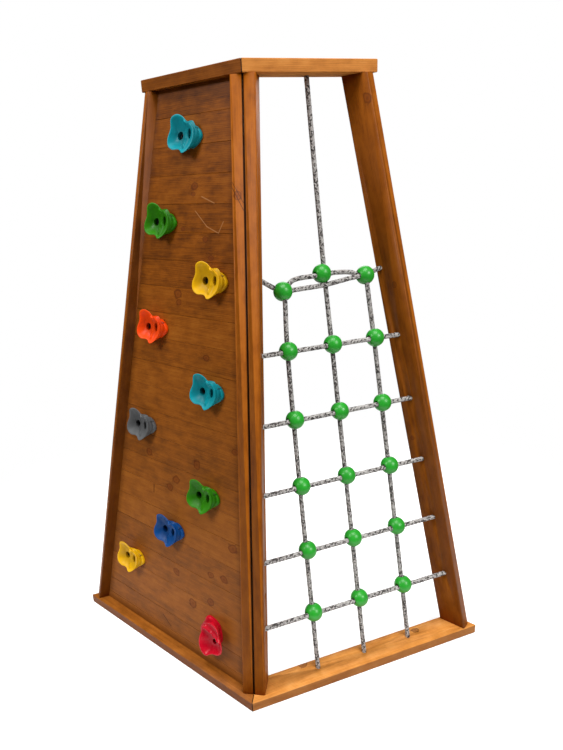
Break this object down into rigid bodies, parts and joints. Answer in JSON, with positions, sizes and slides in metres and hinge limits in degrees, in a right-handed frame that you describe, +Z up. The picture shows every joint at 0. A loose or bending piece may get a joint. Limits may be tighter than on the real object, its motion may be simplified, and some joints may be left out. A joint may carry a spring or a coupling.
{
  "type": "climbing pyramid",
  "caption": "Two joined sides of a tapering timber climbing pyramid: a boarded wall with moulded holds and a rope net with clamping balls.",
  "frame": {"origin": "centre of the plan box of the two joined panels, on the ground plane under the foot boards", "axes": "+Z up; +X along the foot of the net panel from the shared corner to its free corner; +Y from the net panel's outer side to the inside of the pyramid"},
  "size_m": [1.3494, 0.7792, 2],
  "materials": {
    "rail_wood": "stained and oiled",
    "flat_wood": "stained and oiled",
    "board_wood": "stained and oiled",
    "ball_plastic": "glossy",
    "rope": "braided",
    "hold_teal": "cast resin",
    "hold_green": "cast resin",
    "hold_yellow": "cast resin",
    "hold_orange": "cast resin",
    "hold_grey": "cast resin",
    "hold_blue": "cast resin",
    "hold_crimson": "cast resin",
    "steel": "zinc plated"
  },
  "bodies": {
    "root": {"rung_rope_1": "rope", "rung_rope_2": "rope", "rung_rope_3": "rope", "rung_rope_4": "rope", "rung_rope_5": "rope", "rung_rope_6": "rope", "centre_rope": "rope", "outer_rope": "rope", "ball_1_left": "ball_plastic", "ball_1_centre": "ball_plastic", "ball_1_right": "ball_plastic", "ball_2_left": "ball_plastic", "ball_2_centre": "ball_plastic", "ball_2_right": "ball_plastic", "ball_3_left": "ball_plastic", "ball_3_centre": "ball_plastic", "ball_3_right": "ball_plastic", "ball_4_left": "ball_plastic", "ball_4_centre": "ball_plastic", "ball_4_right": "ball_plastic", "ball_5_left": "ball_plastic", "ball_5_centre": "ball_plastic", "ball_5_right": "ball_plastic", "ball_6_left": "ball_plastic", "ball_6_centre": "ball_plastic", "ball_6_right": "ball_plastic", "net_left_rail": "rail_wood", "net_right_rail": "rail_wood", "net_foot_board": "flat_wood", "net_cap_board": "flat_wood", "wall_left_rail": "rail_wood", "wall_right_rail": "rail_wood", "wall_foot_board": "flat_wood", "wall_cap_board": "flat_wood", "wall_foot_strip": "board_wood", "wall_lowest_board": "board_wood", "wall_boards_1": "board_wood", "wall_boards_2": "board_wood", "wall_boards_3": "board_wood", "wall_boards_4": "board_wood", "wall_boards_5": "board_wood", "wall_boards_6": "board_wood", "wall_boards_7": "board_wood", "wall_boards_8": "board_wood", "wall_boards_9": "board_wood", "wall_boards_10": "board_wood", "wall_left_cleat": "rail_wood", "wall_right_cleat": "rail_wood", "hold_1": "hold_teal", "hold_2": "hold_green", "hold_3": "hold_yellow", "hold_4": "hold_orange", "hold_5": "hold_teal", "hold_6": "hold_grey", "hold_7": "hold_green", "hold_8": "hold_blue", "hold_9": "hold_yellow", "hold_10": "hold_crimson", "corner_bolt_lower": "steel", "corner_bolt_upper": "steel"}
  },
  "joints": []
}
